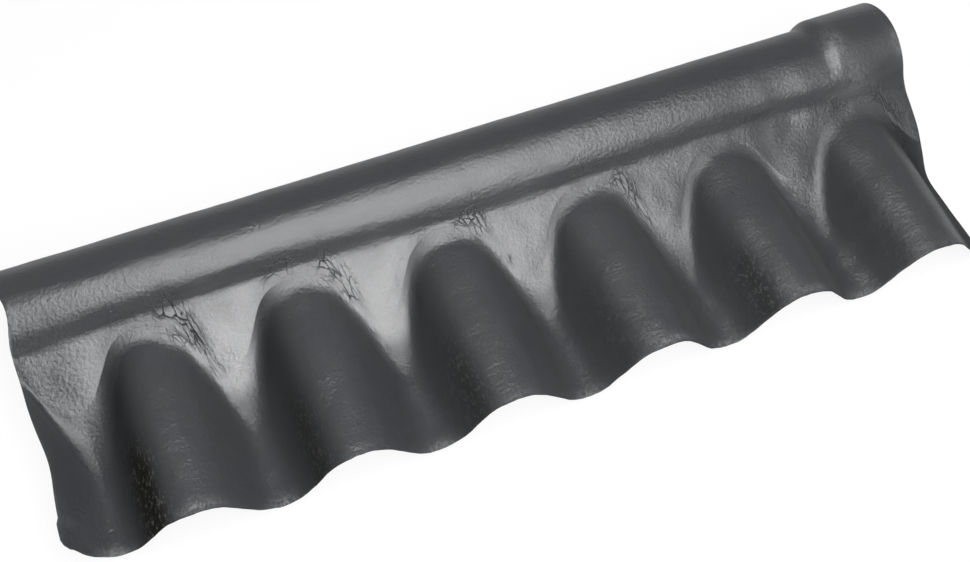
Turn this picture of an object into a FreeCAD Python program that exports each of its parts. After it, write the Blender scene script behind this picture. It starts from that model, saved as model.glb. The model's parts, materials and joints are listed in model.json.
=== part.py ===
import FreeCAD, Part
import math
import os
import Sketcher
from FreeCAD import Vector

# One wing of a two-piece roof ridge cap, moulded in one piece from fibre cement.
# A roll runs along the ridge, an apron falls from it, and the apron bends into
# a skirt whose waves lie over the crests of the corrugated roofing sheets.
# The roll widens at one end into a socket for the plain end of the next cap.
# Sections are drawn across the ridge, Y across and Z up, with the roll's axis
# at Y = 0 and the middle level of the waves at Z = 0. X runs along the ridge.

SIZES = (
    ("length", 1092, "overall length along the ridge"),
    ("thickness", 6, "wall, the same all over"),
    ("crest_spacing", 177, "crest to crest of the roofing sheet"),
    ("wave_depth", 56, "crest to trough"),
    ("flank_angle", 49, "degrees, steepest fall of the waves"),
    ("crest_share", 0.57, "crest's radius, as a share of crest's and trough's together"),
    ("first_crest", 130, "first whole crest, from the plain end"),
    ("skirt_reach", 284, "roll axis to lower edge, in plan"),
    ("roll_radius", 58, "outside of the roll"),
    ("roll_wrap", 240, "degrees from the front, over the top, to the back edge"),
    ("apron_angle", 36, "degrees that the apron falls below the skirt"),
    ("apron_inset", 5, "how far the apron's plane cuts into the roll"),
    ("apron_run", 2, "flat apron between the socket's valley and a crest"),
    ("valley_radius", 40, "hollow between roll and apron"),
    ("socket_valley_radius", 70, "hollow between socket and apron"),
    ("bend_radius", 30, "hollow between apron and skirt"),
    ("socket_step", 8, "radial step from the roll out to the socket"),
    ("socket_length", 80, "socket, without its ramp"),
    ("ramp_length", 20, "ramp from the roll out to the socket"),
)

# What follows from those sizes. The foot is where a line from the roll's axis
# meets the apron's plane squarely, and distances down the apron start there.
DERIVED = (
    ("arc_span", "Sizes.crest_spacing / 2 * sin(Sizes.flank_angle) - Sizes.wave_depth * cos(Sizes.flank_angle)"),
    ("arc_radii", "arc_span / (1 - cos(Sizes.flank_angle))"),
    ("crest_radius", "arc_radii * Sizes.crest_share"),
    ("trough_radius", "arc_radii - crest_radius"),
    ("apron_offset", "Sizes.roll_radius - Sizes.apron_inset"),
    ("socket_radius", "Sizes.roll_radius + Sizes.socket_step"),
    ("valley_widening", "Sizes.socket_valley_radius - Sizes.valley_radius"),
    ("socket_reach", "socket_radius + Sizes.socket_valley_radius"),
    ("socket_valley", "sqrt(socket_reach^2 - (apron_offset + Sizes.socket_valley_radius)^2)"),
    ("bend_run", "Sizes.bend_radius * tan(Sizes.apron_angle / 2)"),
    ("crest_meet", "socket_valley + Sizes.apron_run + bend_run"),
    ("foot_z", "Sizes.wave_depth / 2 + crest_meet * sin(Sizes.apron_angle)"),
    ("foot_y", "-apron_offset * sin(Sizes.apron_angle)"),
    ("roll_height", "foot_z - apron_offset * cos(Sizes.apron_angle)"),
    ("joint", "socket_valley + Sizes.apron_run / 2"),
    ("joint_y", "foot_y - joint * cos(Sizes.apron_angle)"),
    ("joint_z", "foot_z - joint * sin(Sizes.apron_angle)"),
    ("back_edge_z", "roll_height + Sizes.roll_radius * sin(Sizes.roll_wrap)"),
    ("plain_length", "Sizes.length - Sizes.socket_length - Sizes.ramp_length"),
)

# Sections that the ramp is drawn through, and how near two points are the same.
RAMP_SPANS = 4
TOUCH = 0.001

doc = FreeCAD.newDocument("roof_ridge_cap")

sizes = doc.addObject("Spreadsheet::Sheet", "Sizes")
for row, (name, size, note) in enumerate(SIZES, 1):
    sizes.set(f"A{row}", name)
    sizes.set(f"B{row}", str(size))
    sizes.setAlias(f"B{row}", name)
    sizes.set(f"C{row}", note)

derived = doc.addObject("Spreadsheet::Sheet", "Derived")
for row, (name, formula) in enumerate(DERIVED, 1):
    derived.set(f"A{row}", name)
    derived.setAlias(f"B{row}", name)
    derived.set(f"B{row}", "=" + formula)
doc.recompute()

body = doc.addObject("PartDesign::Body", "ridge_cap")
body.Label = "ridge_cap"
cross_plane = next(f for f in body.Origin.OriginFeatures if f.Role == "YZ_Plane")


def value(formula):
    """A formula's value at the present sizes."""
    return float(sizes.evalExpression(formula))


def section_sketch(name, place):
    """An empty sketch across the ridge, at a place along it."""
    sketch = body.newObject("Sketcher::SketchObject", name)
    sketch.AttachmentSupport = (cross_plane, [""])
    sketch.MapMode = "FlatFace"
    sketch.setExpression("AttachmentOffset.Base.z", place)
    return sketch


def arc(centre, radius, first, last):
    """An arc from one direction to another, counter-clockwise."""
    circle = Part.Circle(centre, Vector(0, 0, 1), radius)
    start = math.atan2(first.y, first.x)
    end = math.atan2(last.y, last.x)
    if end < start:
        end += 2 * math.pi
    return Part.ArcOfCircle(circle, start, end)


def bind(sketch, constraint, formula):
    """Add a dimension and tie it to the sizes."""
    index = sketch.addConstraint(constraint)
    sketch.setExpression(f"Constraints[{index}]", formula)


def apron_frame():
    """The apron's foot, its direction down the slope and its outward normal."""
    angle = math.radians(sizes.apron_angle)
    foot = Vector(derived.foot_y, derived.foot_z)
    down = Vector(-math.cos(angle), -math.sin(angle))
    normal = Vector(-math.sin(angle), math.cos(angle))
    return foot, down, normal


def roll_section(name, place, radius, valley_radius):
    """Roll, valley and the upper apron, for a roll and a valley of the given radii."""
    sketch = section_sketch(name, place)
    outer = value(radius)
    wall = sizes.thickness
    hollow = value(valley_radius)
    foot, down, normal = apron_frame()
    axis = Vector(0, derived.roll_height)
    run = math.sqrt((outer + hollow) ** 2 - (derived.apron_offset + hollow) ** 2)
    valley = foot + normal * hollow + down * run
    back = Vector(math.sqrt(outer ** 2 - (derived.back_edge_z - axis.y) ** 2), derived.back_edge_z - axis.y)
    joint = Vector(derived.joint_y, derived.joint_z)
    back_unit = Vector(back).normalize()
    toward = Vector(valley - axis).normalize()
    sketch.addGeometry([
        arc(axis, outer, back, toward),
        arc(valley, hollow, normal * -1, toward * -1),
        Part.LineSegment(valley - normal * hollow, joint),
        Part.LineSegment(joint, joint - normal * wall),
        Part.LineSegment(joint - normal * wall, valley - normal * (hollow + wall)),
        arc(valley, hollow + wall, normal * -1, toward * -1),
        arc(axis, outer - wall, back, toward),
        Part.LineSegment(axis + back_unit * (outer - wall), axis + back_unit * outer),
    ])
    start, end, centre = 1, 2, 3
    sketch.addConstraint([
        Sketcher.Constraint("Tangent", 0, end, 1, end),
        Sketcher.Constraint("Tangent", 1, start, 2, start),
        Sketcher.Constraint("Coincident", 2, end, 3, start),
        Sketcher.Constraint("Coincident", 3, end, 4, start),
        Sketcher.Constraint("Tangent", 4, end, 5, start),
        Sketcher.Constraint("Tangent", 5, end, 6, end),
        Sketcher.Constraint("Coincident", 6, start, 7, start),
        Sketcher.Constraint("Coincident", 7, end, 0, start),
        Sketcher.Constraint("Coincident", 6, centre, 0, centre),
        Sketcher.Constraint("Coincident", 5, centre, 1, centre),
        Sketcher.Constraint("Perpendicular", 2, 3),
        Sketcher.Constraint("Perpendicular", 3, 4),
        Sketcher.Constraint("PointOnObject", 0, centre, 7),
        Sketcher.Constraint("PointOnObject", 0, centre, -2),
    ])
    bind(sketch, Sketcher.Constraint("DistanceY", -1, 1, 0, centre, axis.y), "Derived.roll_height")
    bind(sketch, Sketcher.Constraint("Radius", 0, outer), radius)
    bind(sketch, Sketcher.Constraint("Radius", 6, outer - wall), f"{radius} - Sizes.thickness")
    bind(sketch, Sketcher.Constraint("Radius", 1, hollow), valley_radius)
    bind(sketch, Sketcher.Constraint("Distance", 0, centre, 2, derived.apron_offset), "Derived.apron_offset")
    bind(sketch, Sketcher.Constraint("DistanceX", 2, end, -1, 1, -joint.x), "-Derived.joint_y")
    bind(sketch, Sketcher.Constraint("DistanceY", -1, 1, 2, end, joint.y), "Derived.joint_z")
    bind(sketch, Sketcher.Constraint("DistanceY", 0, start, 0, centre, axis.y - derived.back_edge_z),
         "Derived.roll_height - Derived.back_edge_z")
    return sketch


def pad_along(name, sketch, length):
    """A constant stretch of the section along the ridge."""
    pad = body.newObject("PartDesign::Pad", name)
    pad.Profile = sketch
    pad.setExpression("Length", length)
    return pad


def loft_along(name, sketches):
    """A skin through sections that change along the ridge."""
    loft = body.newObject("PartDesign::AdditiveLoft", name)
    loft.Profile = sketches[0]
    loft.Sections = sketches[1:]
    return loft


def wave_edges(wall):
    """Arcs and flanks of the waves past both ends, on the upper face or a wall under it."""
    half = sizes.crest_spacing / 2
    turn = math.radians(sizes.flank_angle)
    first = math.floor(-sizes.first_crest / half)
    last = math.ceil((sizes.length - sizes.first_crest) / half)
    edges = []
    for n in range(first, last + 1):
        if n % 2:
            bulge = -derived.trough_radius - wall
            height = derived.trough_radius - sizes.wave_depth / 2
        else:
            bulge = derived.crest_radius - wall
            height = sizes.wave_depth / 2 - derived.crest_radius
        centre = Vector(sizes.first_crest + half * n, 0, height)
        points = [centre + Vector(math.sin(t) * abs(bulge), 0, math.cos(t) * bulge) for t in (-turn, 0, turn)]
        if edges:
            edges.append(Part.makeLine(edges[-1].Vertexes[-1].Point, points[0]))
        edges.append(Part.Arc(*points).toShape())
    return edges


def bend_marks(level, wall):
    """Where the bend leaves the apron, where it meets the skirt, and its centre."""
    foot, down, normal = apron_frame()
    foot = foot - normal * wall
    radius = sizes.bend_radius + wall
    run = radius * math.tan(math.radians(sizes.apron_angle) / 2)
    meet = foot + down * ((foot.y - level) / -down.y)
    end = meet - Vector(run, 0)
    return meet - down * run, end, end + Vector(0, radius)


def links(first, second):
    """Straight edges that join two edges at both ends of the cap."""
    pairs = [(v.Point, w.Point) for x in (0, sizes.length) for v in at_end(first, x) for w in at_end(second, x)]
    return [Part.makeLine(*pair) for pair in pairs]


def at_end(edges, x):
    """The corners of some edges that lie at one end of the cap."""
    corners = [vertex for edge in edges for vertex in edge.Vertexes]
    return [vertex for vertex in corners if abs(vertex.X - x) < TOUCH]


def flat_face(edges):
    """The flat face inside some edges, in any order."""
    return Part.Face(Part.Wire(Part.sortEdges(edges)[0]))


def edges_between(faces, on_edge):
    """The edges of some faces whose ends and middle all pass a test."""
    edges = []
    for edge in [edge for face in faces for edge in face.Edges]:
        first, last = edge.ParameterRange
        if all(on_edge(edge.valueAt(t)) for t in (first, (first + last) / 2, last)):
            edges.append(edge)
    return edges


def bend_face(path, radius):
    """The bend's arc, from skirt to apron, carried along the skirt's upper edge."""
    circle = Part.Circle(Vector(0, 0, radius), Vector(1, 0, 0), radius)
    circle.XAxis = Vector(0, 0, -1)
    profile = Part.ArcOfCircle(circle, 0, math.radians(sizes.apron_angle)).toBSpline()
    track = path.Curve.toBSpline(*path.ParameterRange)
    poles = [[place + offset for offset in profile.getPoles()] for place in track.getPoles()]
    weights = [[w * v for v in profile.getWeights()] for w in track.getWeights()]
    surface = Part.BSplineSurface()
    surface.buildFromPolesMultsKnots(
        poles, track.getMultiplicities(), profile.getMultiplicities(), track.getKnots(), profile.getKnots(),
        False, False, track.Degree, profile.Degree, weights)
    return surface.toShape()


def skirt_side(wall):
    """Faces of the upper side, or of the side a wall under it, with its root and lower edges."""
    tall = sizes.wave_depth
    corners = [bend_marks(level, wall)[1] for level in (-tall, tall)]
    corners += [Vector(-sizes.skirt_reach, tall), Vector(-sizes.skirt_reach, -tall)]
    outline = Part.makePolygon([Vector(0, c.x, c.y) for c in corners + corners[:1]])
    region = Part.Face(outline).extrude(Vector(sizes.length, 0, 0))
    waves = Part.Wire(wave_edges(wall)).extrude(Vector(0, -2 * sizes.skirt_reach, 0))
    skirt = waves.common(region).Faces

    lower = edges_between(skirt, lambda p: abs(p.y + sizes.skirt_reach) < TOUCH)
    upper = edges_between(skirt, lambda p: abs(p.y - bend_marks(p.z, wall)[1].x) < TOUCH)
    bends = [bend_face(edge, sizes.bend_radius + wall) for edge in upper]

    start, end, centre = bend_marks(0, wall)
    rise = Vector(0, start.x - end.x, start.y - end.y)
    arches = [edge.translated(rise) for edge in upper]
    root = Vector(derived.joint_y, derived.joint_z) - apron_frame()[2] * wall
    root_edge = Part.makeLine(Vector(0, root.x, root.y), Vector(sizes.length, root.x, root.y))
    apron = flat_face(arches + [root_edge] + links(arches, [root_edge]))
    return skirt + bends + [apron], [root_edge], lower


def skirt_solid():
    """The lower apron, the bend and the corrugated skirt, one wall thick."""
    upper, root, lower = skirt_side(0)
    under, under_root, under_lower = skirt_side(sizes.thickness)
    root_ends = links(root, under_root)
    lower_ends = links(lower, under_lower)
    faces = upper + under
    closing = [flat_face(root + under_root + root_ends), flat_face(lower + under_lower + lower_ends)]
    for x, root_end, lower_end in zip((0, sizes.length), root_ends, lower_ends):
        across = edges_between(faces, lambda p: abs(p.x - x) < TOUCH)
        closing.append(flat_face(across + [root_end, lower_end]))
    shell = Part.Shell(faces + closing)
    shell.sewShape()
    solid = Part.Solid(shell)
    if solid.Volume < 0:
        solid.reverse()
    return solid


skirt = doc.addObject("Part::Feature", "corrugated_skirt")
skirt.Shape = skirt_solid()
body.BaseFeature = skirt

# The plain roll, the ramp and the socket, joined to the skirt across the apron.
plain = roll_section("plain_roll_section", "0", "Sizes.roll_radius", "Sizes.valley_radius")
pad_along("plain_roll", plain, "Derived.plain_length")

ramp = []
for step in range(RAMP_SPANS + 1):
    share = step / RAMP_SPANS
    rise = 3 * share ** 2 - 2 * share ** 3
    place = f"Derived.plain_length + Sizes.ramp_length * {share}"
    radius = f"(Sizes.roll_radius + Sizes.socket_step * {rise})"
    valley_radius = f"(Sizes.valley_radius + Derived.valley_widening * {rise})"
    ramp.append(roll_section(f"ramp_section_{step}", place, radius, valley_radius))
loft_along("socket_ramp", ramp)

mouth = roll_section(
    "socket_section", "Sizes.length - Sizes.socket_length", "Derived.socket_radius", "Sizes.socket_valley_radius")
pad_along("socket", mouth, "Sizes.socket_length")
doc.recompute()


def lying_tilt():
    """Degrees about the ridge that bring the back edge and the troughs down to one floor."""
    trough = -sizes.wave_depth / 2 - sizes.thickness
    centre = bend_marks(trough, sizes.thickness)[2]
    radius = sizes.bend_radius + sizes.thickness
    drop = derived.roll_height - derived.back_edge_z
    back = Vector(math.sqrt(derived.socket_radius ** 2 - drop ** 2), derived.back_edge_z)
    reach = centre - back
    return math.degrees(math.atan2(reach.y, -reach.x) - math.asin(radius / reach.Length))


# The cap lies on its trough bottoms and the back edge of its roll, with the
# origin under the middle of its box.
tilt = FreeCAD.Rotation(Vector(1, 0, 0), lying_tilt())
lying = body.Shape.copy()
lying.Placement = FreeCAD.Placement(Vector(0, 0, 0), tilt)
box = lying.optimalBoundingBox()
body.Placement = FreeCAD.Placement(Vector(-box.Center.x, -box.Center.y, -box.ZMin), tilt)
doc.recompute()

for thing in doc.Objects:
    if {"Invalid", "Error"} & set(thing.State):
        raise RuntimeError(f"{thing.Name} did not build: {thing.getStatusString()}")
if body.Shape.isNull() or not body.Shape.isValid() or len(body.Shape.Solids) != 1:
    raise RuntimeError("ridge_cap is not one valid solid")

os.makedirs("parts", exist_ok=True)
body.Shape.exportStep(f"parts/{body.Label}.step")
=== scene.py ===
"""Looks of a roof ridge cap wing: a moulded, coated fibre cement sheet with a
roll, an apron and a corrugated skirt, lying on a pale studio floor."""

import json
import math

import bmesh
import bpy
from bpy.props import FloatProperty, FloatVectorProperty, PointerProperty
from mathutils import Matrix, Vector, noise


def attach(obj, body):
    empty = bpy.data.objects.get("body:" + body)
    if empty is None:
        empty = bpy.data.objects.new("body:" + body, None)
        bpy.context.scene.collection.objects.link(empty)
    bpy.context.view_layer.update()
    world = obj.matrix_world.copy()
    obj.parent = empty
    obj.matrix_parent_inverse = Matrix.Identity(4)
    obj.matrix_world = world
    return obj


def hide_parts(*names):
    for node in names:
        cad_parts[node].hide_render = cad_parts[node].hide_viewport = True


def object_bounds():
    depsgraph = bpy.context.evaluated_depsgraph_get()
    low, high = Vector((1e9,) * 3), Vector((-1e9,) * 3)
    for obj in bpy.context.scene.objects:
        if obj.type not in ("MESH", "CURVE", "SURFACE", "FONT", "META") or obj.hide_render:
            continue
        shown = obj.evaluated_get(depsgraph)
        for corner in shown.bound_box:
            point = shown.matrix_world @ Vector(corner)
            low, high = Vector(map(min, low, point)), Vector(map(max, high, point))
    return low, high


bl_info = {
    "name": "Roof Ridge Cap",
    "version": (1, 0, 0),
    "blender": (4, 5, 0),
    "location": "View3D > Sidebar > Ridge Cap",
    "description": "Builds the dressed ridge cap over its CAD part, with a studio stage",
    "category": "Add Mesh",
}

MM = 0.001

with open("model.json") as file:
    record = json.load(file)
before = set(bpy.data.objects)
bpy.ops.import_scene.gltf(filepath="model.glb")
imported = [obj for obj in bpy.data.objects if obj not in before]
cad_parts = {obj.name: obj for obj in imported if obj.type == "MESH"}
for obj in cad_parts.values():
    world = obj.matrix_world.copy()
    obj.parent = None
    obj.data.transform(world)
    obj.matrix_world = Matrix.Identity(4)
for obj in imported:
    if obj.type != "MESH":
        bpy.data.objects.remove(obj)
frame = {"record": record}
cad_low, cad_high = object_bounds()
mounts = {mount["name"]: mount for mount in frame["record"]["mounts"]}
roll_seat = mounts["roll_seat"]
socket_seat = mounts["socket_seat"]
wall = 6 * MM

# What the finish reads at each place of the mesh.
MASKS = ("sheen", "crease", "grit_and_shade", "scuff_and_highlight", "matt_and_shade")

# Rows of the mesh across the cap, from the lower edge to the roll's back edge,
# and the zone of each row with its share of the way up that zone.
ROWS = (("skirt", 30), ("bend", 12), ("apron", 20), ("valley", 8), ("roll", 40))
ROW_COUNT = sum(count for zone, count in ROWS)
ROW_PLACES = [("skirt", 0.0)] + [(zone, (n + 1) / count) for zone, count in ROWS for n in range(count)]
COLUMN_COUNT = 380

# How far in from the plain end its last wave is raised, and how much more that
# wave rises at the bend than at the lower edge.
END_RISE_REACH = 50 * MM
BEND_RISE_SHARE = 2.2

# Share of the roll over which its soft front turns into its crisp top.
SOFT_FRONT_SHARE = 0.4

# Size of the slow and the fine unevenness, the fine one's share of the height,
# and how much of the slow one is left on the roll.
SLOW_WAVE = 95 * MM
FINE_WAVE = 17 * MM
FINE_SHARE = 0.12
ROLL_CALM = 0.25

# Where hand trimming cut into the ends: distance up the sheet from the lower
# edge, half width and depth. The sheet near an end follows its cuts over the
# fade, and the ledge at the plain end's lower corner is that high.
PLAIN_END_CUTS = ((285 * MM, 35 * MM, 13 * MM), (100 * MM, 45 * MM, 6 * MM), (0, 6 * MM, 7 * MM))
SOCKET_END_CUTS = ((190 * MM, 40 * MM, 4 * MM), (118 * MM, 22 * MM, -4 * MM))
CUT_FADE = 16 * MM
LEDGE_HEIGHT = 38 * MM

# Spots on the apron and the socket: place along the ridge and its half width,
# then place above the bend and its half width.
FOLD_SPOT = (908 * MM, 16 * MM, 60 * MM, 55 * MM)
SOCKET_SCUFF = (1012 * MM, 14 * MM, 78 * MM, 22 * MM)
# The socket patch is a painted highlight: a pale patch low on the socket's front.
SOCKET_PAINTED_HIGHLIGHT = (1025 * MM, 22 * MM, 38 * MM, 16 * MM)
SOCKET_SHINE = (1014 * MM, 24 * MM, 20 * MM, 14 * MM)
TORN_END = (cad_high.x - cad_low.x, 9 * MM, 128 * MM, 16 * MM)

# How strongly each crest is worn, from the plain end: cracks in its arch, grit
# with painted shade on the flank that faces the plain end, and rubbing on its lower rim.
ARCH_CRACKS = (1.0, 0.9, 0.6, 0.6, 0.35, 0.8)
FLANK_GRIT_AND_SHADE = (1.0, 0.4, 0.5, 0.3, 0.6, 0.2)
RIM_RUBS = (1.0, 0.2, 0.3, 1.0, 0.7, 0.2)

# How much more the coating mirrors on the apron over each trough.
TROUGH_SHEEN = (0.2, 0.9, 0.85, 0.45, 0.0, 0.0, 0.0)

# The stage: half the floor's width in metres, how much of it the camera sees as
# pure white, how high the white backdrop is mirrored, and the camera's sensor
# in millimetres.
FLOOR_REACH = 30
FLOOR_WHITE_SHARE = 0.88
BACKDROP_HEIGHT = 0.12
SENSOR_WIDTH = 36


def linear_colour(hex_code):
    """An sRGB hex colour as linear red, green and blue."""
    channels = [int(hex_code[i:i + 2], 16) / 255 for i in (1, 3, 5)]
    return tuple(c / 12.92 if c <= 0.04045 else ((c + 0.055) / 1.055) ** 2.4 for c in channels)


def opaque(colour):
    """A colour property's value with full alpha, as a shader socket takes it."""
    return (*colour, 1)


def smooth_step(share):
    """Ease from 0 to 1."""
    share = min(max(share, 0), 1)
    return share * share * (3 - 2 * share)


def eased(place, start, end):
    """Ease from 0 at the start to 1 at the end, which may lie before it."""
    return smooth_step((place - start) / (end - start))


def hump(distance, half_width):
    """A soft bump of height 1 that fades out at about twice its half width."""
    return math.exp(-(distance / half_width) ** 2)


def spot(x, above_bend, place):
    """A soft spot of height 1 at a place along the ridge and above the bend."""
    along, half_length, above, half_height = place
    return hump(x - along, half_length) * hump(above_bend - above, half_height)


def cut_depth(up, cuts):
    """How deep hand trimming cut into an end, a distance up the sheet."""
    return sum(depth * hump(up - place, half_width) for place, half_width, depth in cuts)


class RidgeCapShape(bpy.types.PropertyGroup):
    """Sizes of the moulded sheet."""

    length: FloatProperty(
        name="Length", description="Overall length along the ridge",
        default=cad_high.x - cad_low.x, unit="LENGTH")
    wall: FloatProperty(
        name="Wall", description="Thickness of the sheet",
        default=wall, unit="LENGTH")
    crest_spacing: FloatProperty(
        name="Crest Spacing", description="Crest to crest of the roofing sheet under the skirt",
        default=177 * MM, unit="LENGTH")
    wave_depth: FloatProperty(
        name="Wave Depth", description="Crest to trough of the skirt",
        default=56 * MM, unit="LENGTH")
    flank_angle: FloatProperty(
        name="Flank Angle", description="Steepness of the waves between crest and trough",
        default=math.radians(49), subtype="ANGLE")
    crest_share: FloatProperty(
        name="Crest Share", description="Crest's share of the radii of crest and trough",
        default=0.57, subtype="FACTOR")
    first_crest: FloatProperty(
        name="First Crest", description="Distance of the first whole crest from the plain end",
        default=130 * MM, unit="LENGTH")
    skirt_reach: FloatProperty(
        name="Skirt Reach", description="Roll axis to lower edge, in plan",
        default=284 * MM, unit="LENGTH")
    roll_radius: FloatProperty(
        name="Roll Radius", description="Outside of the roll",
        default=roll_seat["dims"]["r_mm"] * MM + wall, unit="LENGTH")
    socket_radius: FloatProperty(
        name="Socket Radius", description="Outside of the socket",
        default=socket_seat["dims"]["r_mm"] * MM + wall, unit="LENGTH")
    socket_length: FloatProperty(
        name="Socket Length", description="Socket without its ramp",
        default=socket_seat["dims"]["length_mm"] * MM, unit="LENGTH")
    ramp_length: FloatProperty(
        name="Ramp Length", description="Ramp from the roll's top out to the socket",
        default=20 * MM, unit="LENGTH")
    soft_ramp_length: FloatProperty(
        name="Soft Ramp Length", description="Ramp from the roll's front out to the socket",
        default=120 * MM, unit="LENGTH")
    roll_wrap: FloatProperty(
        name="Roll Wrap", description="From the front, over the top, to the back edge",
        default=math.radians(240), subtype="ANGLE")
    apron_angle: FloatProperty(
        name="Apron Angle", description="Fall of the apron below the skirt",
        default=math.radians(36), subtype="ANGLE")
    apron_offset: FloatProperty(
        name="Apron Offset", description="Roll axis to the apron's plane",
        default=53 * MM, unit="LENGTH")
    apron_run: FloatProperty(
        name="Apron Run", description="Flat apron between the socket and a crest",
        default=2 * MM, unit="LENGTH")
    valley_radius: FloatProperty(
        name="Valley Radius", description="Hollow between roll and apron",
        default=40 * MM, unit="LENGTH")
    socket_valley_radius: FloatProperty(
        name="Socket Valley Radius", description="Hollow between socket and apron",
        default=70 * MM, unit="LENGTH")
    bend_radius: FloatProperty(
        name="Bend Radius", description="Hollow between apron and skirt",
        default=30 * MM, unit="LENGTH")
    lying_tilt: FloatProperty(
        name="Lying Tilt",
        description="Turn about the ridge that brings troughs and back edge to the floor",
        default=math.radians(-2.6204), subtype="ANGLE")
    unevenness: FloatProperty(
        name="Unevenness", description="Height of the slow waves that hand moulding left",
        default=1.4 * MM, unit="LENGTH")
    end_rise: FloatProperty(
        name="End Rise", description="Extra height of the last wave at the plain end",
        default=12 * MM, unit="LENGTH")
    crest_bend_radius: FloatProperty(
        name="Crest Bend Radius", description="Hollow between apron and skirt, at a crest",
        default=38 * MM, unit="LENGTH")
    trough_bend_radius: FloatProperty(
        name="Trough Bend Radius", description="Hollow between apron and skirt, in a trough",
        default=130 * MM, unit="LENGTH")
    arch_spread: FloatProperty(
        name="Arch Spread",
        description="How much further out the waves' flanks are at the apron than at the lower edge",
        default=9 * MM, unit="LENGTH")
    arch_lean: FloatProperty(
        name="Arch Lean", description="How far the arches at the apron lean towards the plain end",
        default=2 * MM, unit="LENGTH")
    crest_rise: FloatProperty(
        name="Crest Rise", description="Rise of a crest from the lower edge to the apron",
        default=4.5 * MM, unit="LENGTH")
    crest_valley_share: FloatProperty(
        name="Crest Valley Share", description="Valley radius over a crest, as a share of that over a trough",
        default=0.5, subtype="FACTOR")
    apron_sink: FloatProperty(
        name="Apron Sink", description="How far the apron sank between roll and skirt",
        default=5.5 * MM, unit="LENGTH")
    trough_fill: FloatProperty(
        name="Trough Fill", description="Rise of a trough towards the apron",
        default=4 * MM, unit="LENGTH")
    valley_groove: FloatProperty(
        name="Valley Groove", description="Extra depth of the hollow under the roll near the plain end",
        default=2 * MM, unit="LENGTH")
    valley_fill: FloatProperty(
        name="Valley Fill", description="How much shallower that hollow is in the middle",
        default=1.3 * MM, unit="LENGTH")
    apron_fold: FloatProperty(
        name="Apron Fold", description="Upright fold of the apron before the last crest",
        default=1.2 * MM, unit="LENGTH")
    edge_bow: FloatProperty(
        name="Edge Bow", description="Extra reach of the skirt's lower edge between its ends",
        default=6 * MM, unit="LENGTH")
    ragged_edge: FloatProperty(
        name="Ragged Edge", description="Wander of the trimmed lower edge",
        default=1.2 * MM, unit="LENGTH")
    corner_ledge: FloatProperty(
        name="Corner Ledge", description="Untrimmed lip at the plain end's lower corner",
        default=2.5 * MM, unit="LENGTH")
    edge_rounding: FloatProperty(
        name="Edge Rounding", description="Wear on the sheet's edges",
        default=2 * MM, unit="LENGTH")


class CoatingLook(bpy.types.PropertyGroup):
    """Colours and gloss of the coated fibre cement."""

    coating: FloatVectorProperty(
        name="Coating", description="Anthracite coating",
        default=linear_colour("#44464b"), subtype="COLOR", min=0, max=1)
    coating_faded: FloatVectorProperty(
        name="Faded Coating", description="Coating where it weathered slightly greener and lighter",
        default=linear_colour("#4b4d4e"), subtype="COLOR", min=0, max=1)
    # Grime also paints shade: it darkens the flanks that face the plain end, the last flank and dim spots of
    # the apron.
    grime_and_shade: FloatVectorProperty(
        name="Grime", description="Black crust in the cracks and on gritty flanks",
        default=linear_colour("#23221f"), subtype="COLOR", min=0, max=1)
    # The scuff colour also paints a highlight: a pale patch low on the socket.
    scuff_and_highlight: FloatVectorProperty(
        name="Scuff", description="Pale cement dust on rubbed spots",
        default=linear_colour("#8f9090"), subtype="COLOR", min=0, max=1)
    cut_edge: FloatVectorProperty(
        name="Cut Edge", description="Bare fibre cement on the trimmed edges",
        default=linear_colour("#383632"), subtype="COLOR", min=0, max=1)
    satin_roughness: FloatProperty(
        name="Satin Roughness", description="Roughness where the coating is smoothest",
        default=0.28, subtype="FACTOR", min=0, max=1)
    worn_roughness: FloatProperty(
        name="Worn Roughness", description="Roughness where the coating is most weathered",
        default=0.33, subtype="FACTOR", min=0, max=1)
    matt_roughness: FloatProperty(
        name="Matt Roughness", description="Roughness of cracks, grit and dull flanks",
        default=0.6, subtype="FACTOR", min=0, max=1)
    matt_mirroring: FloatProperty(
        name="Matt Mirroring", description="How much cracks, grit and dull flanks mirror",
        default=0.06, subtype="FACTOR", min=0, max=1)
    refraction: FloatProperty(
        name="Refraction", description="Index of refraction of the coating",
        default=2.0)


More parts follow.
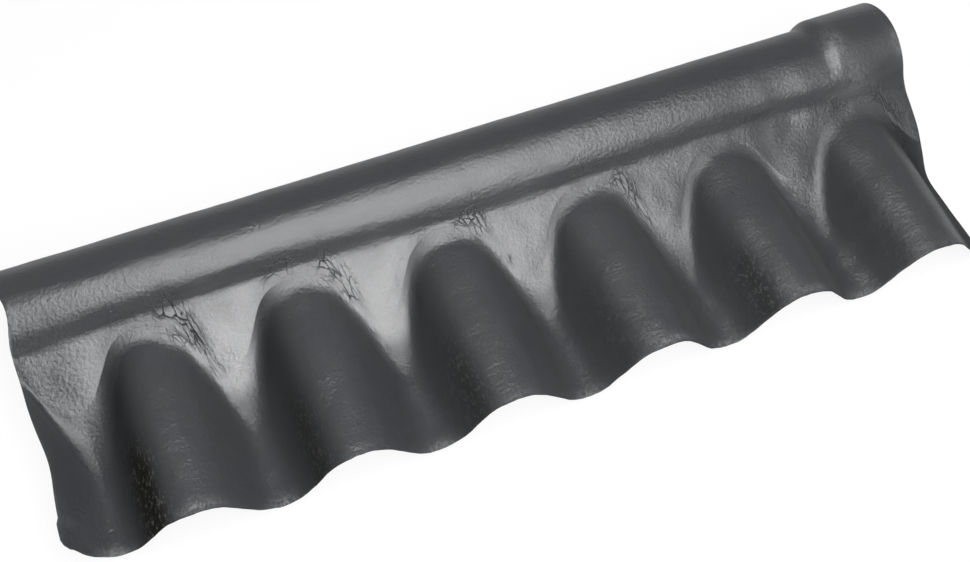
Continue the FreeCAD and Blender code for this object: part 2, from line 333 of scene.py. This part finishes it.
class StageLook(bpy.types.PropertyGroup):
    """Camera and light of the studio."""

    camera_place: FloatVectorProperty(
        name="Camera Place", description="Where the camera stands",
        default=(-0.3325, -0.6458, 1.1971), subtype="XYZ")
    camera_azimuth: FloatProperty(
        name="Camera Azimuth", description="Turn of the view about the upright, 0 looking along +Y",
        default=math.radians(-26.207), subtype="ANGLE")
    camera_elevation: FloatProperty(
        name="Camera Elevation", description="Angle of the view above the horizon",
        default=math.radians(63.964), subtype="ANGLE")
    camera_roll: FloatProperty(
        name="Camera Roll", description="Turn of the frame about the view",
        default=math.radians(4.62), subtype="ANGLE")
    lens: FloatProperty(
        name="Lens", description="Focal length on a 36 mm sensor",
        default=43.763, unit="CAMERA")
    rise: FloatProperty(
        name="Rise", description="Upward shift of the picture, in picture widths",
        default=0.1069)
    key_place: FloatVectorProperty(
        name="Key Place", description="Middle of the large soft light in front",
        default=(0.1, -0.83, 1.87), subtype="XYZ")
    key_size: FloatVectorProperty(
        name="Key Size", description="Width and height of the large soft light in front",
        default=(1.9, 2.6), size=2, unit="LENGTH")
    key_power: FloatProperty(
        name="Key Power", description="Power of the large soft light in front",
        default=86, unit="POWER")
    fill_place: FloatVectorProperty(
        name="Fill Place", description="Middle of the soft light at the socket end",
        default=(1.9, -0.3, 1.1), subtype="XYZ")
    fill_size: FloatVectorProperty(
        name="Fill Size", description="Width and height of the soft light at the socket end",
        default=(1.0, 1.0), size=2, unit="LENGTH")
    fill_power: FloatProperty(
        name="Fill Power", description="Power of the soft light at the socket end",
        default=2.5, unit="POWER")
    sky_level: FloatProperty(
        name="Sky Level", description="Brightness of the dim studio around",
        default=0.15)
    back_level: FloatProperty(
        name="Back Level", description="Brightness of the studio behind the ridge",
        default=0.45)


def wave_level(shape, x, depth):
    """Height of the waves over their middle level, on the upper face or a depth under it."""
    turn = shape.flank_angle
    half = shape.crest_spacing / 2
    radii = (half * math.sin(turn) - shape.wave_depth * math.cos(turn)) / (1 - math.cos(turn))
    crest = radii * shape.crest_share - depth
    trough = radii * (1 - shape.crest_share) + depth
    top = shape.wave_depth / 2 - depth
    bottom = -shape.wave_depth / 2 - depth
    from_crest = abs((x - shape.first_crest + half) % shape.crest_spacing - half)
    from_trough = half - from_crest
    if from_crest < crest * math.sin(turn):
        return top - crest + math.sqrt(crest ** 2 - from_crest ** 2)
    if from_trough < trough * math.sin(turn):
        return bottom + trough - math.sqrt(trough ** 2 - from_trough ** 2)
    return top - crest * (1 - math.cos(turn)) - (from_crest - crest * math.sin(turn)) * math.tan(turn)


def crest_nearness(shape, x):
    """1 over a crest of the skirt, 0 over a trough."""
    return max(0.5 + wave_level(shape, x, 0) / shape.wave_depth, 0)


def arch_place(shape, x):
    """Where the lower edge has the wave that the bend has at x."""
    past = x + shape.arch_lean - shape.first_crest
    spread = shape.arch_spread * eased(x, 90 * MM, 200 * MM)
    return x + shape.arch_lean - spread * math.sin(math.tau * past / shape.crest_spacing)


def turned(angle):
    """Unit direction across the ridge, in Y and Z."""
    return Vector((math.cos(angle), math.sin(angle)))


class Section:
    """The sheet's upper face across the ridge, or a face a depth under it, in Y and Z.

    The roll's axis is at Y = 0 and the middle level of the waves at Z = 0."""

    def __init__(self, shape, x, depth, ramp_length):
        fall = shape.apron_angle
        down = -turned(fall)
        normal = turned(fall + math.pi / 2)
        bend_run = shape.bend_radius * math.tan(fall / 2)
        socket_run = self.valley_run(shape.apron_offset, shape.socket_radius, shape.socket_valley_radius)
        crest_meet = socket_run + shape.apron_run + bend_run
        foot = Vector((
            -shape.apron_offset * math.sin(fall),
            shape.wave_depth / 2 + crest_meet * math.sin(fall)))
        self.axis = foot - normal * shape.apron_offset
        self.fall = fall

        ramp_start = shape.length - shape.socket_length - ramp_length
        socket_share = smooth_step((x - ramp_start) / ramp_length)
        radius = shape.roll_radius + socket_share * (shape.socket_radius - shape.roll_radius)
        hollow = shape.valley_radius + socket_share * (shape.socket_valley_radius - shape.valley_radius)
        arched = arch_place(shape, x)
        rising = 1 - smooth_step(x / END_RISE_REACH)
        crest = min(crest_nearness(shape, arched) + rising, 1)
        hollow *= 1 - (1 - shape.crest_valley_share) * crest ** 2
        sink = shape.apron_sink * (1 - socket_share)
        foot -= normal * sink
        valley_run = self.valley_run(shape.apron_offset - sink, radius, hollow)
        self.valley = foot + normal * hollow + down * valley_run
        toward = self.valley - self.axis
        self.valley_turn = math.atan2(-toward.y, -toward.x) - (fall - math.pi / 2)
        self.roll_front = math.atan2(toward.y, toward.x) % math.tau
        self.roll_back = math.asin(shape.roll_radius * math.sin(shape.roll_wrap) / radius)

        end_rise = shape.end_rise * rising
        self.lower_edge = Vector((-shape.skirt_reach, wave_level(shape, x, depth) + end_rise))
        level = wave_level(shape, arched, depth) + shape.crest_rise * crest + BEND_RISE_SHARE * end_rise
        under = foot - normal * depth
        meet = under + down * ((under.y - level) / math.sin(fall))
        up_skirt = meet - self.lower_edge
        self.slope = math.atan2(up_skirt.y, up_skirt.x)
        self.radius = radius - depth
        self.valley_radius = hollow + depth
        softer = (1 - crest) * (shape.trough_bend_radius - shape.crest_bend_radius)
        self.bend_radius = shape.crest_bend_radius + softer + depth
        bend_run = self.bend_radius * math.tan((fall - self.slope) / 2)
        self.bend_end = meet - turned(self.slope) * bend_run
        self.bend_start = meet - down * bend_run
        self.bend = self.bend_end + turned(self.slope + math.pi / 2) * self.bend_radius
        self.apron_top = self.valley - normal * self.valley_radius

    @staticmethod
    def valley_run(offset, radius, hollow):
        """How far down the apron the valley's centre lies, for a roll of that radius."""
        return math.sqrt((radius + hollow) ** 2 - (offset + hollow) ** 2)

    def skirt(self, share):
        return self.lower_edge.lerp(self.bend_end, share), self.slope + math.pi / 2

    def bend_arc(self, share):
        turn = self.slope + (self.fall - self.slope) * share - math.pi / 2
        return self.bend + self.bend_radius * turned(turn), turn + math.pi

    def apron(self, share):
        return self.bend_start.lerp(self.apron_top, share), self.fall + math.pi / 2

    def valley_arc(self, share):
        turn = self.fall - math.pi / 2 + self.valley_turn * share
        return self.valley + self.valley_radius * turned(turn), turn + math.pi

    def roll(self, share):
        turn = self.roll_front + (self.roll_back - self.roll_front) * share
        return self.axis + self.radius * turned(turn), turn

    def point(self, zone, share):
        """A point a share of the way up one of the zones, and the angle of its outward side."""
        zones = {
            "skirt": self.skirt, "bend": self.bend_arc, "apron": self.apron,
            "valley": self.valley_arc, "roll": self.roll,
        }
        return zones[zone](share)

    def above_bend(self, zone, share):
        """Distance up the face from where the bend leaves the apron."""
        bend_length = self.bend_radius * (self.fall - self.slope)
        if zone == "skirt":
            return -bend_length - (self.bend_end - self.lower_edge).length * (1 - share)
        if zone == "bend":
            return -bend_length * (1 - share)
        apron_length = (self.apron_top - self.bend_start).length
        if zone == "apron":
            return apron_length * share
        valley_length = self.valley_radius * self.valley_turn
        if zone == "valley":
            return apron_length + valley_length * share
        return apron_length + valley_length + self.radius * (self.roll_front - self.roll_back) * share


def nearest_crest(shape, x):
    """Number of the nearest crest, and the distance past it."""
    number = round((x - shape.first_crest) / shape.crest_spacing)
    number = min(max(number, 0), len(ARCH_CRACKS) - 1)
    return number, x - shape.first_crest - number * shape.crest_spacing


def over_arch(past):
    """1 over the top and the far shoulder of an arch, fading on its near side."""
    return eased(past, -45 * MM, -15 * MM) * eased(past, 80 * MM, 55 * MM)


def relief(shape, x, section, zone, above_bend, place):
    """How far hand moulding left the outer face off its true section."""
    crest = crest_nearness(shape, arch_place(shape, x))
    past_apron = above_bend - section.above_bend("apron", 1)
    calm = ROLL_CALM if zone == "roll" else 1 - (1 - ROLL_CALM) * eased(past_apron, 0, 15 * MM)
    slow = noise.fractal(place / SLOW_WAVE, 0.6, 2.0, 3) * shape.unevenness * calm
    fine = noise.noise(place / FINE_WAVE) * shape.unevenness * FINE_SHARE
    into_apron = above_bend + 20 * MM
    fill_reach = 70 * MM if into_apron > 0 else 42 * MM
    fill = shape.trough_fill * (1 - crest) ** 2 * hump(into_apron, fill_reach)
    near_plain_end = eased(x, 30 * MM, 100 * MM) * eased(x, 430 * MM, 280 * MM)
    depth = shape.valley_groove * near_plain_end - shape.valley_fill * hump(x - 580 * MM, 170 * MM)
    groove = depth * hump(past_apron - 13 * MM, 14 * MM)
    fold = shape.apron_fold * spot(x, above_bend, FOLD_SPOT)
    return slow + fine + fill - groove + fold


def trimmed(shape, x, zone, share, up):
    """How far hand trimming left the sheet's edges off square, in X and Y."""
    plain_end = cut_depth(up, PLAIN_END_CUTS)
    if up < LEDGE_HEIGHT:
        plain_end -= shape.corner_ledge
    socket_end = cut_depth(up, SOCKET_END_CUTS)
    along = plain_end * hump(x, CUT_FADE) + socket_end * hump(shape.length - x, CUT_FADE)
    bow = eased(x, 40 * MM, 130 * MM) * (1 - 0.4 * eased(x, 550 * MM, 950 * MM))
    short_corner = 5 * MM * (eased(x, 90 * MM, 15 * MM) + hump(x, 7 * MM))
    ragged = noise.fractal(Vector((x / (28 * MM), 0, 0)), 0.8, 2.0, 3)
    across = shape.ragged_edge * ragged * hump(up, 12 * MM)
    if zone == "skirt":
        across -= (shape.edge_bow * bow - short_corner) * (1 - share)
    return along, across


def grit_and_shade_amount(number, past, up):
    """Grit, and painted shade, on the lower part of the flank that faces the plain end."""
    return FLANK_GRIT_AND_SHADE[number] * hump(past + 38 * MM, 18 * MM) * eased(up, 125 * MM, 65 * MM)


def scuff_and_highlight_amount(x, number, past, trough_side, up, above_bend):
    """Rubbing on the lower rim, about the socket and on its torn end, and a painted highlight low on the
    socket.
    """
    trough_rim = hump(trough_side, 16 * MM) * hump(up, 9 * MM)
    crest_rim = RIM_RUBS[number] * hump(past - 8 * MM, 22 * MM) * hump(up - 7 * MM, 5 * MM)
    # The socket patch is a painted highlight.
    socket = 0.8 * spot(x, above_bend, SOCKET_SCUFF) + 0.7 * spot(x, above_bend, SOCKET_PAINTED_HIGHLIGHT)
    torn_end = spot(x, above_bend, TORN_END)
    return min(trough_rim + crest_rim + socket + torn_end, 1)


def matt_and_shade_amount(x, zone, number, past):
    """Painted shade with a matt coating on the flanks that face the plain end, on the last flank and past it,
    and on the apron before the last crest and at the socket end.
    """
    if zone == "roll":
        return 0
    if zone in ("apron", "valley"):
        return 0.55 * hump(x - 893 * MM, 20 * MM) + 0.4 * eased(x, 1020 * MM, 1080 * MM)
    matt_and_shade = (0.9 - 0.5 * eased(x, 200 * MM, 600 * MM)) * hump(past + 44 * MM, 24 * MM)
    if number == len(ARCH_CRACKS) - 1:
        matt_and_shade += hump(past - 62 * MM, 26 * MM)
    return min(matt_and_shade, 1)


def sheen_amount(x, zone, trough, trough_side, above_bend):
    """How much more, or less, than elsewhere the coating mirrors."""
    if zone == "roll":
        return 0
    open_apron = eased(above_bend, -45 * MM, -15 * MM) * (1 - 0.7 * eased(above_bend, 30 * MM, 80 * MM))
    trough_tip = hump(trough_side, 28 * MM) * eased(above_bend, -18 * MM, -48 * MM)
    sheen = TROUGH_SHEEN[trough] * hump(trough_side, 50 * MM) * open_apron - 0.6 * trough_tip
    sheen += spot(x, above_bend, SOCKET_SHINE)
    if zone == "bend":
        sheen -= 0.6 * eased(x, 60 * MM, 30 * MM)
    return sheen


def wear(shape, x, zone, up, above_bend, arch_side):
    """Masks of the finish at one place: how far each kind of wear, painted shade and painted highlight shows.
    """
    number, past = nearest_crest(shape, x)
    trough_side = shape.crest_spacing / 2 - abs(past)
    trough = number + (past > 0)
    return {
        "sheen": sheen_amount(x, zone, trough, trough_side, above_bend),
        "crease": ARCH_CRACKS[number] * over_arch(past) * hump(arch_side - 22 * MM, 16 * MM),
        "grit_and_shade": grit_and_shade_amount(number, past, up),
        "scuff_and_highlight": scuff_and_highlight_amount(x, number, past, trough_side, up, above_bend),
        "matt_and_shade": matt_and_shade_amount(x, zone, number, past),
    }


def sheet_columns(shape, depth):
    """Sections along the ridge, each as the roll's top has it and as its soft front has it."""
    ramps = (shape.ramp_length, shape.soft_ramp_length)
    places = [shape.length * n / COLUMN_COUNT for n in range(COLUMN_COUNT + 1)]
    return [[Section(shape, x, depth, ramp) for ramp in ramps] for x in places]


def arch_lengths(shape, upper):
    """Length along the line where bend and apron meet, at each column, and the
    share of that line's direction that runs along the ridge."""
    step = shape.length / COLUMN_COUNT
    lengths = [0.0]
    for before, after in zip(upper, upper[1:]):
        rise = (after.bend_start - before.bend_start).length
        lengths.append(lengths[-1] + math.hypot(step, rise))
    shares = []
    for n in range(COLUMN_COUNT + 1):
        before, after = max(n - 1, 0), min(n + 1, COLUMN_COUNT)
        shares.append((after - before) * step / (lengths[after] - lengths[before]))
    return lengths, shares


def crosses_wall(item, under):
    """Whether a face or an edge joins the upper face to the one under it."""
    return len({vert in under for vert in item.verts}) == 2


def ridge_cap_mesh(shape):
    """The moulded sheet, with the masks that its finish reads."""
    bm = bmesh.new()
    bmesh.ops.create_grid(bm, x_segments=COLUMN_COUNT, y_segments=ROW_COUNT, size=0.5)
    made = bmesh.ops.extrude_face_region(
        bm, geom=bm.verts[:] + bm.edges[:] + bm.faces[:], use_keep_orig=True)
    under = {item for item in made["geom"] if isinstance(item, bmesh.types.BMVert)}
    masks = {name: bm.verts.layers.float.new(name) for name in MASKS}
    uv = bm.loops.layers.uv.new("crease_map")

    upper_columns = sheet_columns(shape, 0)
    under_columns = sheet_columns(shape, shape.wall)
    upper = [soft for crisp, soft in upper_columns]
    lengths, shares = arch_lengths(shape, upper)

    map_points = {}
    for vert in bm.verts:
        column = round((vert.co.x + 0.5) * COLUMN_COUNT)
        zone, share = ROW_PLACES[round((vert.co.y + 0.5) * ROW_COUNT)]
        x = shape.length * column / COLUMN_COUNT
        crisp, soft = (under_columns if vert in under else upper_columns)[column]
        on_top = smooth_step(share / SOFT_FRONT_SHARE) if zone == "roll" else 0
        point, outward = soft.point(zone, share)
        point = point.lerp(crisp.point(zone, share)[0], on_top)
        section = upper[column]
        above = section.above_bend(zone, share)
        up = above - section.above_bend("skirt", 0)
        on_face = Vector((x, *section.point(zone, share)[0]))
        arch_side = (above - section.above_bend("bend", 0.5)) * shares[column]
        point += turned(outward) * relief(shape, x, section, zone, above, on_face)
        along, across = trimmed(shape, x, zone, share, up)
        vert.co = (x + along, point.x + across, point.y)
        for name, amount in wear(shape, x, zone, up, above, arch_side).items():
            vert[masks[name]] = amount
        map_points[vert] = (lengths[column], arch_side)
    for face in bm.faces:
        face.smooth = True
        face.material_index = int(crosses_wall(face, under))
        for loop in face.loops:
            loop[uv].uv = map_points[loop.vert]
    rim_edges = []
    for edge in bm.edges:
        on_rim = any(face.material_index == 1 for face in edge.link_faces)
        if on_rim and not crosses_wall(edge, under):
            rim_edges.append(edge)
    bmesh.ops.recalc_face_normals(bm, faces=bm.faces)
    bmesh.ops.bevel(
        bm, geom=rim_edges, offset=shape.edge_rounding, offset_type="OFFSET", segments=2, profile=0.5,
        affect="EDGES", material=-1, clamp_overlap=True)

    axis_y, axis_z = upper[0].axis
    to_floor = (
        Matrix.Translation((cad_low.x, roll_seat["pos_m"][1], roll_seat["pos_m"][2]))
        @ Matrix.Rotation(shape.lying_tilt, 4, "X")
        @ Matrix.Translation((0, -axis_y, -axis_z))
    )
    bmesh.ops.transform(bm, matrix=to_floor, verts=bm.verts)
    mesh = bpy.data.meshes.new("moulded_ridge_cap")
    bm.to_mesh(mesh)
    bm.free()
    return mesh


def add_node(tree, kind, inputs=None, **settings):
    """Add a shader node, set its options, and fill or link its inputs."""
    node = tree.nodes.new(kind)
    for name, setting in settings.items():
        setattr(node, name, setting)
    for socket, source in (inputs or {}).items():
        if isinstance(source, bpy.types.NodeSocket):
            tree.links.new(source, node.inputs[socket])
        else:
            node.inputs[socket].default_value = source
    return node


def new_material(name):
    """An empty material with its output and one principled shader."""
    material = bpy.data.materials.new(name)
    material.use_nodes = True
    tree = material.node_tree
    tree.nodes.clear()
    shader = add_node(tree, "ShaderNodeBsdfPrincipled")
    add_node(tree, "ShaderNodeOutputMaterial", {"Surface": shader.outputs[0]})
    return material, tree, shader


def maths(tree, operation, *values, **settings):
    """The result of a maths node on its values."""
    return add_node(
        tree, "ShaderNodeMath", dict(enumerate(values)), operation=operation, **settings).outputs[0]


def mapped(tree, value, before, after, **settings):
    """A value taken from one range to another."""
    inputs = {
        "Value": value, "From Min": before[0], "From Max": before[1], "To Min": after[0], "To Max": after[1]}
    return add_node(tree, "ShaderNodeMapRange", inputs, **settings).outputs[0]


def blended(tree, share, first, second):
    """Two colours, mixed by the share of the second."""
    return add_node(tree, "ShaderNodeMix", {0: share, 6: first, 7: second}, data_type="RGBA").outputs[2]


def mixed_level(tree, share, first, second):
    """Two numbers, mixed by the share of the second."""
    return add_node(tree, "ShaderNodeMix", {0: share, 2: first, 3: second}, data_type="FLOAT").outputs[0]


def clouded(tree, vector, size, detail, roughness=0.5):
    """Soft noise with lumps of about this size."""
    return add_node(
        tree, "ShaderNodeTexNoise",
        {"Vector": vector, "Scale": 1 / size, "Detail": detail, "Roughness": roughness})


def stretched(tree, vector, sizes):
    """Coordinates in which a pattern of size 1 gets these sizes."""
    scale = [1 / size for size in sizes]
    return add_node(tree, "ShaderNodeMapping", {"Vector": vector, "Scale": scale}).outputs[0]


def crack_pattern(tree, coords, crease):
    """Cracks where the crease mask is: wavy lines along the arches, about 10 mm
    apart, and a net of short ones."""
    crease_map = add_node(tree, "ShaderNodeUVMap", uv_map="crease_map").outputs["UV"]
    waves = clouded(tree, stretched(tree, crease_map, (36 * MM, 11 * MM, 1)), 1, 3, 0.55).outputs["Fac"]
    distance = maths(tree, "ABSOLUTE", maths(tree, "SUBTRACT", waves, 0.5))
    lines = mapped(tree, distance, (0, 0.035), (0.75, 0), interpolation_type="SMOOTHSTEP")
    wander = clouded(tree, crease_map, 9 * MM, 2).outputs["Color"]
    wandered = add_node(
        tree, "ShaderNodeVectorMath", {0: wander, 1: (8 * MM, 8 * MM, 0), 2: crease_map},
        operation="MULTIPLY_ADD").outputs[0]
    cells = add_node(
        tree, "ShaderNodeTexVoronoi", {"Vector": wandered, "Scale": 1 / (14 * MM)},
        feature="DISTANCE_TO_EDGE").outputs["Distance"]
    net = mapped(tree, cells, (0, 0.06), (0.8, 0), interpolation_type="SMOOTHSTEP")
    patches = clouded(tree, coords, 38 * MM, 1).outputs["Fac"]
    in_patch = mapped(tree, patches, (0.42, 0.58), (0.15, 1))
    creased = maths(tree, "MULTIPLY", crease, in_patch)
    return maths(tree, "MULTIPLY", maths(tree, "MAXIMUM", lines, net), creased)


def dust_and_highlight_pattern(tree, coords, grit_and_shade, scuff_and_highlight):
    """Pale specks of grit, and rubbed spots that break up into specks, among them a painted highlight on the
    socket.
    """
    drawn_out = stretched(tree, coords, (2.8 * MM, 6 * MM, 6 * MM))
    specks = clouded(tree, drawn_out, 1, 2, 0.7).outputs["Fac"]
    gritted = maths(tree, "MULTIPLY", mapped(tree, specks, (0.54, 0.64), (0, 0.38)), grit_and_shade)
    # Rubbed spots, and the painted highlight on the socket, turn pale.
    rubbed_and_highlight = maths(tree, "MULTIPLY", mapped(tree, specks, (0.36, 0.62), (0.1, 0.9)), scuff_and_highlight)
    return maths(tree, "MAXIMUM", gritted, rubbed_and_highlight)


def coated_fibre_cement(look):
    """Moulded fibre cement under a worn satin coating: dark where nothing is
    mirrored, silvery where a light is, mottled like felt, with cracks where the
    wet sheet was bent over the crests, grit on flanks, pale rubbed rims, painted
    shade on the flanks that face the plain end and a painted highlight on the socket."""
    material, tree, shader = new_material("coated_fibre_cement")
    coords = add_node(tree, "ShaderNodeTexCoord").outputs["Object"]
    masks = {}
    for name in MASKS:
        masks[name] = add_node(tree, "ShaderNodeAttribute", attribute_name=name).outputs["Fac"]
    clouds = clouded(tree, coords, 70 * MM, 4).outputs["Fac"]
    cracked = crack_pattern(tree, coords, masks["crease"])
    dust_and_highlight = dust_and_highlight_pattern(tree, coords, masks["grit_and_shade"], masks["scuff_and_highlight"])

    coat = blended(tree, clouds, opaque(look.coating), opaque(look.coating_faded))
    # Painted shade: the flanks that face the plain end, the last flank and dim spots of the apron are
    # darkened towards the grime colour; on the gritty flanks part of it is real crust.
    shade = maths(tree, "MULTIPLY", masks["matt_and_shade"], 0.5)
    crust_and_shade = maths(tree, "MULTIPLY_ADD", masks["grit_and_shade"], 0.7, shade, use_clamp=True)
    grimy_and_shaded = blended(tree, crust_and_shade, coat, opaque(look.grime_and_shade))
    split = blended(tree, cracked, grimy_and_shaded, opaque(look.grime_and_shade))
    colour = blended(tree, dust_and_highlight, split, opaque(look.scuff_and_highlight))

    # Cracks, grit and dull flanks mirror less.
    matt = maths(tree, "MAXIMUM", maths(tree, "MAXIMUM", cracked, masks["grit_and_shade"]), masks["matt_and_shade"])
    level = mapped(tree, masks["sheen"], (-1, 1), (0.15, 0.85))
    mirroring = mixed_level(tree, matt, level, look.matt_mirroring)
    gloss = mapped(tree, clouds, (0.3, 0.7), (look.satin_roughness, look.worn_roughness))
    roughness = mixed_level(tree, matt, gloss, look.matt_roughness)

    # Felt-like mottling about 4 mm across, over slower streaks along the ridge.
    streaks = clouded(tree, stretched(tree, coords, (60 * MM, 12 * MM, 12 * MM)), 1, 2).outputs["Fac"]
    felt = clouded(tree, coords, 4 * MM, 2, 0.6).outputs["Fac"]
    streak_bump = add_node(tree, "ShaderNodeBump", {"Strength": 0.6, "Distance": 0.8 * MM, "Height": streaks})
    felt_bump = add_node(
        tree, "ShaderNodeBump",
        {"Strength": 0.7, "Distance": 0.8 * MM, "Height": felt, "Normal": streak_bump.outputs[0]})
    crack_bump = add_node(
        tree, "ShaderNodeBump",
        {"Strength": 1, "Distance": 1.0 * MM, "Height": cracked, "Normal": felt_bump.outputs[0]}, invert=True)

    tree.links.new(colour, shader.inputs["Base Color"])
    tree.links.new(roughness, shader.inputs["Roughness"])
    tree.links.new(mirroring, shader.inputs["Specular IOR Level"])
    tree.links.new(crack_bump.outputs[0], shader.inputs["Normal"])
    shader.inputs["IOR"].default_value = look.refraction
    return material


def cut_fibre_cement(look):
    """Trimmed edge: bare cement, dull and browner than the coating, with grains."""
    material, tree, shader = new_material("cut_fibre_cement")
    coords = add_node(tree, "ShaderNodeTexCoord").outputs["Object"]
    grain = clouded(tree, coords, 5 * MM, 4).outputs["Fac"]
    darker = tuple(0.45 * c for c in look.cut_edge)
    colour = blended(tree, grain, opaque(darker), opaque(look.cut_edge))
    bump = add_node(tree, "ShaderNodeBump", {"Strength": 0.5, "Distance": 0.6 * MM, "Height": grain})
    tree.links.new(colour, shader.inputs["Base Color"])
    tree.links.new(bump.outputs[0], shader.inputs["Normal"])
    shader.inputs["Roughness"].default_value = 0.75
    return material


class RIDGECAP_OT_moulded_sheet(bpy.types.Operator):
    """Build the moulded sheet over its CAD part"""

    bl_idname = "ridgecap.moulded_sheet"
    bl_label = "Moulded Sheet"

    def execute(self, context):
        shape = context.scene.ridge_cap_shape
        look = context.scene.ridge_cap_coating
        cap = bpy.data.objects.new("moulded_ridge_cap", ridge_cap_mesh(shape))
        context.collection.objects.link(cap)
        cap.data.materials.append(coated_fibre_cement(look))
        cap.data.materials.append(cut_fibre_cement(look))
        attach(cap, "root")
        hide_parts("ridge_cap")
        return {"FINISHED"}


def seen_white(tree):
    """The paths of light, and 1 for the rays that should find a white background."""
    path = add_node(tree, "ShaderNodeLightPath")
    return path, maths(tree, "MAXIMUM", path.outputs["Is Camera Ray"], path.outputs["Is Transmission Ray"])


def studio_floor_paint():
    """Matt white floor that looks white to the camera and keeps a faint shadow."""
    material, tree, shader = new_material("matt_white_floor")
    shader.inputs["Base Color"].default_value = (0.8, 0.8, 0.8, 1)
    shader.inputs["Roughness"].default_value = 0.9
    path, eye = seen_white(tree)
    white = add_node(tree, "ShaderNodeEmission", {"Color": (1, 1, 1, 1), "Strength": 1})
    seen = maths(tree, "MAXIMUM", eye, path.outputs["Is Glossy Ray"])
    share = maths(tree, "MULTIPLY", seen, FLOOR_WHITE_SHARE)
    paint = add_node(tree, "ShaderNodeMixShader", {0: share, 1: shader.outputs[0], 2: white.outputs[0]})
    tree.links.new(paint.outputs[0], tree.nodes["Material Output"].inputs["Surface"])
    return material


class RIDGECAP_OT_stage(bpy.types.Operator):
    """Build the studio floor, the light and the camera"""

    bl_idname = "ridgecap.stage"
    bl_label = "Studio Stage"

    def execute(self, context):
        stage = context.scene.ridge_cap_stage
        self.lay_floor(context)
        self.hang_lights(context, stage)
        self.set_camera(context, stage)
        context.scene.view_settings.view_transform = "Standard"
        return {"FINISHED"}

    def lay_floor(self, context):
        bm = bmesh.new()
        bmesh.ops.create_grid(bm, x_segments=1, y_segments=1, size=FLOOR_REACH)
        mesh = bpy.data.meshes.new("studio_floor")
        bm.to_mesh(mesh)
        bm.free()
        floor = bpy.data.objects.new("studio_floor", mesh)
        context.collection.objects.link(floor)
        floor.data.materials.append(studio_floor_paint())

    def hang_lights(self, context, stage):
        self.hang_softbox(context, "front_softbox", stage.key_size, stage.key_place, stage.key_power)
        self.hang_softbox(context, "end_softbox", stage.fill_size, stage.fill_place, stage.fill_power)

        world = bpy.data.worlds.new("dim_studio")
        world.use_nodes = True
        tree = world.node_tree
        tree.nodes.clear()
        path, eye = seen_white(tree)
        side = add_node(tree, "ShaderNodeTexCoord").outputs["Generated"]
        reach = add_node(tree, "ShaderNodeSeparateXYZ", {"Vector": side})
        backdrop = mapped(
            tree, reach.outputs["Z"], (0, BACKDROP_HEIGHT), (1, 0), interpolation_type="SMOOTHSTEP")
        mirrored = maths(tree, "MULTIPLY", path.outputs["Is Glossy Ray"], backdrop)
        share = maths(tree, "MAXIMUM", eye, mirrored)
        lighter_back = mapped(tree, reach.outputs["Y"], (0.4, 0.9), (stage.sky_level, stage.back_level))
        room = add_node(
            tree, "ShaderNodeBackground", {"Color": (0.95, 0.97, 1, 1), "Strength": lighter_back})
        white = add_node(tree, "ShaderNodeBackground", {"Color": (1, 1, 1, 1), "Strength": 1})
        mixed = add_node(tree, "ShaderNodeMixShader", {0: share, 1: room.outputs[0], 2: white.outputs[0]})
        add_node(tree, "ShaderNodeOutputWorld", {"Surface": mixed.outputs[0]})
        context.scene.world = world

    def hang_softbox(self, context, name, size, place, power):
        light = bpy.data.lights.new(name, "AREA")
        light.shape = "RECTANGLE"
        light.size, light.size_y = size
        light.energy = power
        lamp = bpy.data.objects.new(name, light)
        lamp.location = place
        lamp.rotation_euler = lamp.location.to_track_quat("Z", "Y").to_euler()
        lamp.visible_camera = False
        context.collection.objects.link(lamp)

    def set_camera(self, context, stage):
        camera = bpy.data.cameras.new("front_camera")
        camera.sensor_fit = "HORIZONTAL"
        camera.sensor_width = SENSOR_WIDTH
        camera.lens = stage.lens
        camera.shift_y = stage.rise
        stand = bpy.data.objects.new("front_camera", camera)
        level = Matrix.Rotation(stage.camera_azimuth, 3, "Z")
        tip = Matrix.Rotation(math.pi / 2 - stage.camera_elevation, 3, "X")
        roll = Matrix.Rotation(stage.camera_roll, 3, "Z")
        stand.rotation_euler = (level @ tip @ roll).to_euler()
        stand.location = stage.camera_place
        context.collection.objects.link(stand)
        context.scene.camera = stand


class RIDGECAP_PT_panel(bpy.types.Panel):
    """Sizes, finish and stage of the ridge cap"""

    bl_idname = "RIDGECAP_PT_panel"
    bl_label = "Roof Ridge Cap"
    bl_space_type = "VIEW_3D"
    bl_region_type = "UI"
    bl_category = "Ridge Cap"

    def draw(self, context):
        scene = context.scene
        for group in (scene.ridge_cap_shape, scene.ridge_cap_coating, scene.ridge_cap_stage):
            box = self.layout.box()
            for name in group.__annotations__:
                box.prop(group, name)
        self.layout.operator(RIDGECAP_OT_moulded_sheet.bl_idname)
        self.layout.operator(RIDGECAP_OT_stage.bl_idname)


CLASSES = (
    RidgeCapShape,
    CoatingLook,
    StageLook,
    RIDGECAP_OT_moulded_sheet,
    RIDGECAP_OT_stage,
    RIDGECAP_PT_panel,
)


def register():
    for cls in CLASSES:
        bpy.utils.register_class(cls)
    bpy.types.Scene.ridge_cap_shape = PointerProperty(type=RidgeCapShape)
    bpy.types.Scene.ridge_cap_coating = PointerProperty(type=CoatingLook)
    bpy.types.Scene.ridge_cap_stage = PointerProperty(type=StageLook)


def unregister():
    del bpy.types.Scene.ridge_cap_stage
    del bpy.types.Scene.ridge_cap_coating
    del bpy.types.Scene.ridge_cap_shape
    for cls in reversed(CLASSES):
        bpy.utils.unregister_class(cls)


def main():
    register()
    bpy.ops.ridgecap.moulded_sheet()
    bpy.ops.ridgecap.stage()


if __name__ == "__main__":
    main()
